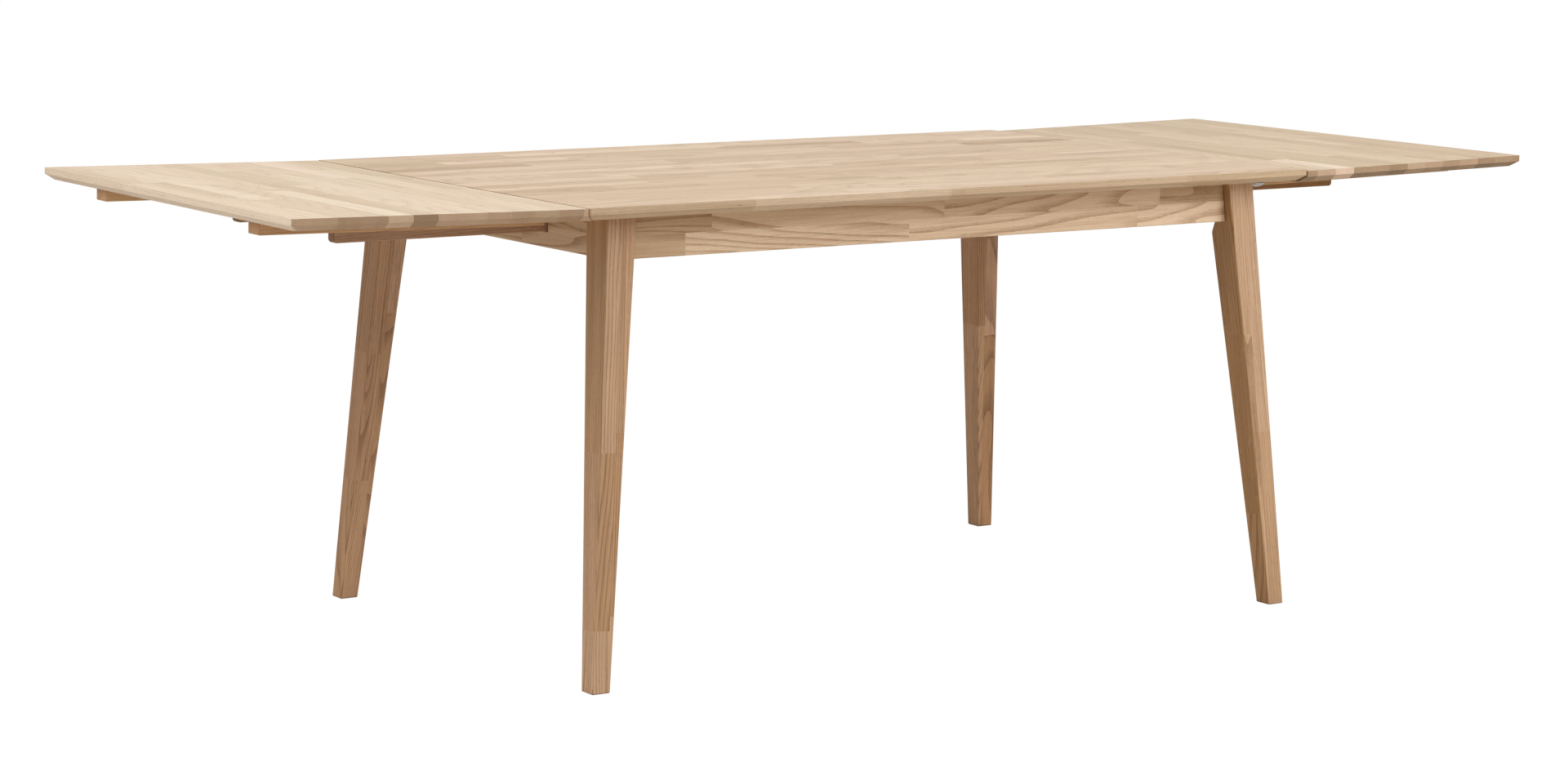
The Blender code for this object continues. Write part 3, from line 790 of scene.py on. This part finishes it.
# ---------------------------------------------------------------- CAD nodes that stay
for name, piece in frame["nodes"].items():
    if piece.hide_render:
        continue
    material = FINISH[slot_of(name)]
    if not piece.material_slots:
        piece.data.materials.append(material)
    for place in piece.material_slots:
        place.material = material

# ---------------------------------------------------------------- floor, light and camera
EYE = Vector((-3.6023, -5.3930, 1.3337))
YAW, PITCH, ROLL = 0.5819, -0.1476, 0.0103
LENS, SENSOR = 88.833, 36.0

ROOM_NEAR, ROOM_FAR = 0.32, 0.90     # the far wall is brighter, and shows as sheen on the top
ROOM_FROM, ROOM_TO = -0.3, 0.8       # where round the room that change begins and ends
ROOM_TINT = "#fffaf4"
FAR = (0.55, 0.83, 0.0)              # the way to the far wall
PURE_WHITE = 1.05                    # just over 1, so that it is white to the eye all over

FLOOR_TINT = "#d6d0c8"
FLOOR_WHITE = 0.94                   # the eye sees this share of white and the rest as shadow
FLOOR_REACH = 20.0
FLOOR_DROP = 0.2 * MM                # keeps it clear of the undersides of the glides

# place, aim, width, height and power in watts
SOFTBOXES = {
    "key_softbox": ((3.2, -3.9, 3.0), (0.4, 0, 0.4), 3.0, 2.8, 165),
    "left_softbox": ((-4.4, -0.9, 3.6), (-0.6, 0, 0.2), 2.6, 2.6, 97),
    "top_softbox": ((0.0, 0.4, 3.6), (0, 0, 0.7), 4.0, 3.0, 20),
}


def make_camera():
    """The camera stands at EYE. YAW turns it from the Y axis, PITCH tips it and ROLL tilts it."""
    forward = Vector((
        math.sin(YAW) * math.cos(PITCH), math.cos(YAW) * math.cos(PITCH), math.sin(PITCH)
    ))
    level = Vector((math.cos(YAW), -math.sin(YAW), 0))
    upright = level.cross(forward)
    right = level * math.cos(ROLL) + upright * math.sin(ROLL)
    up = upright * math.cos(ROLL) - level * math.sin(ROLL)
    data = bpy.data.cameras.new("camera")
    data.lens, data.sensor_width, data.sensor_fit = LENS, SENSOR, "HORIZONTAL"
    camera = bpy.data.objects.new("camera", data)
    camera.matrix_world = (
        Matrix.Translation(EYE) @ Matrix((right, up, -forward)).transposed().to_4x4()
    )
    bpy.context.scene.collection.objects.link(camera)
    bpy.context.scene.camera = camera


def make_softbox(name, place, aim, width, height, power):
    """A soft rectangular lamp that lights the table and isn't seen itself."""
    data = bpy.data.lights.new(name, "AREA")
    data.shape, data.size, data.size_y = "RECTANGLE", width, height
    data.energy = power
    light = bpy.data.objects.new(name, data)
    light.location = place
    light.rotation_euler = (Vector(aim) - Vector(place)).to_track_quat("-Z", "Y").to_euler()
    light.visible_camera = False
    bpy.context.scene.collection.objects.link(light)


def make_room():
    """A white room: it shows pure white to the eye and lights the table more softly."""
    scene = bpy.context.scene
    scene.view_settings.view_transform = "Standard"
    world = bpy.data.worlds.new("white_studio")
    scene.world = world
    world.use_nodes = True
    tree = world.node_tree
    tree.nodes.clear()
    seen = node(tree, "ShaderNodeLightPath").outputs["Is Camera Ray"]
    way = node(tree, "ShaderNodeTexCoord").outputs["Generated"]
    facing = node(tree, "ShaderNodeVectorMath", {"operation": "DOT_PRODUCT"}, {0: way, 1: FAR})
    strength = node(
        tree, "ShaderNodeMapRange", {"interpolation_type": "SMOOTHSTEP"},
        {0: facing.outputs["Value"], 1: ROOM_FROM, 2: ROOM_TO, 3: ROOM_NEAR, 4: ROOM_FAR},
    )
    glow = node(
        tree, "ShaderNodeBackground", None, {"Color": linear(ROOM_TINT), "Strength": strength}
    )
    white = node(
        tree, "ShaderNodeBackground", None, {"Color": (1, 1, 1, 1), "Strength": PURE_WHITE}
    )
    both = node(tree, "ShaderNodeMixShader", None, {0: seen, 1: glow, 2: white})
    node(tree, "ShaderNodeOutputWorld", None, {"Surface": both})


def make_floor():
    """A sweep of white paper. From above the eye sees it nearly white, with the table's soft
    shadow on it, and from below it is clear, so that the underside of the table shows."""
    floor_mesh = bpy.data.meshes.new("studio_floor")
    shape = bmesh.new()
    bmesh.ops.create_grid(shape, x_segments=1, y_segments=1, size=FLOOR_REACH)
    shape.to_mesh(floor_mesh)
    shape.free()
    floor = bpy.data.objects.new("studio_floor", floor_mesh)
    bpy.context.scene.collection.objects.link(floor)
    paper, tree, shader = new_material(
        "white_paper_sweep", Base_Color=linear(FLOOR_TINT), Roughness=0.9
    )
    times = {"operation": "MULTIPLY"}
    seen = node(tree, "ShaderNodeLightPath").outputs["Is Camera Ray"]
    lit = node(tree, "ShaderNodeEmission", None, {"Strength": PURE_WHITE})
    share = node(tree, "ShaderNodeMath", times, {0: seen, 1: FLOOR_WHITE})
    both = node(tree, "ShaderNodeMixShader", None, {0: share, 1: shader, 2: lit})
    under = node(tree, "ShaderNodeNewGeometry").outputs["Backfacing"]
    from_below = node(tree, "ShaderNodeMath", times, {0: seen, 1: under})
    clear = node(tree, "ShaderNodeBsdfTransparent")
    either = node(tree, "ShaderNodeMixShader", None, {0: from_below, 1: both, 2: clear})
    tree.links.new(either.outputs[0], tree.nodes["Material Output"].inputs["Surface"])
    floor_mesh.materials.append(paper)
    floor.location.z = -FLOOR_DROP


make_camera()
make_room()
make_floor()
for name, softbox in SOFTBOXES.items():
    make_softbox(name, *softbox)
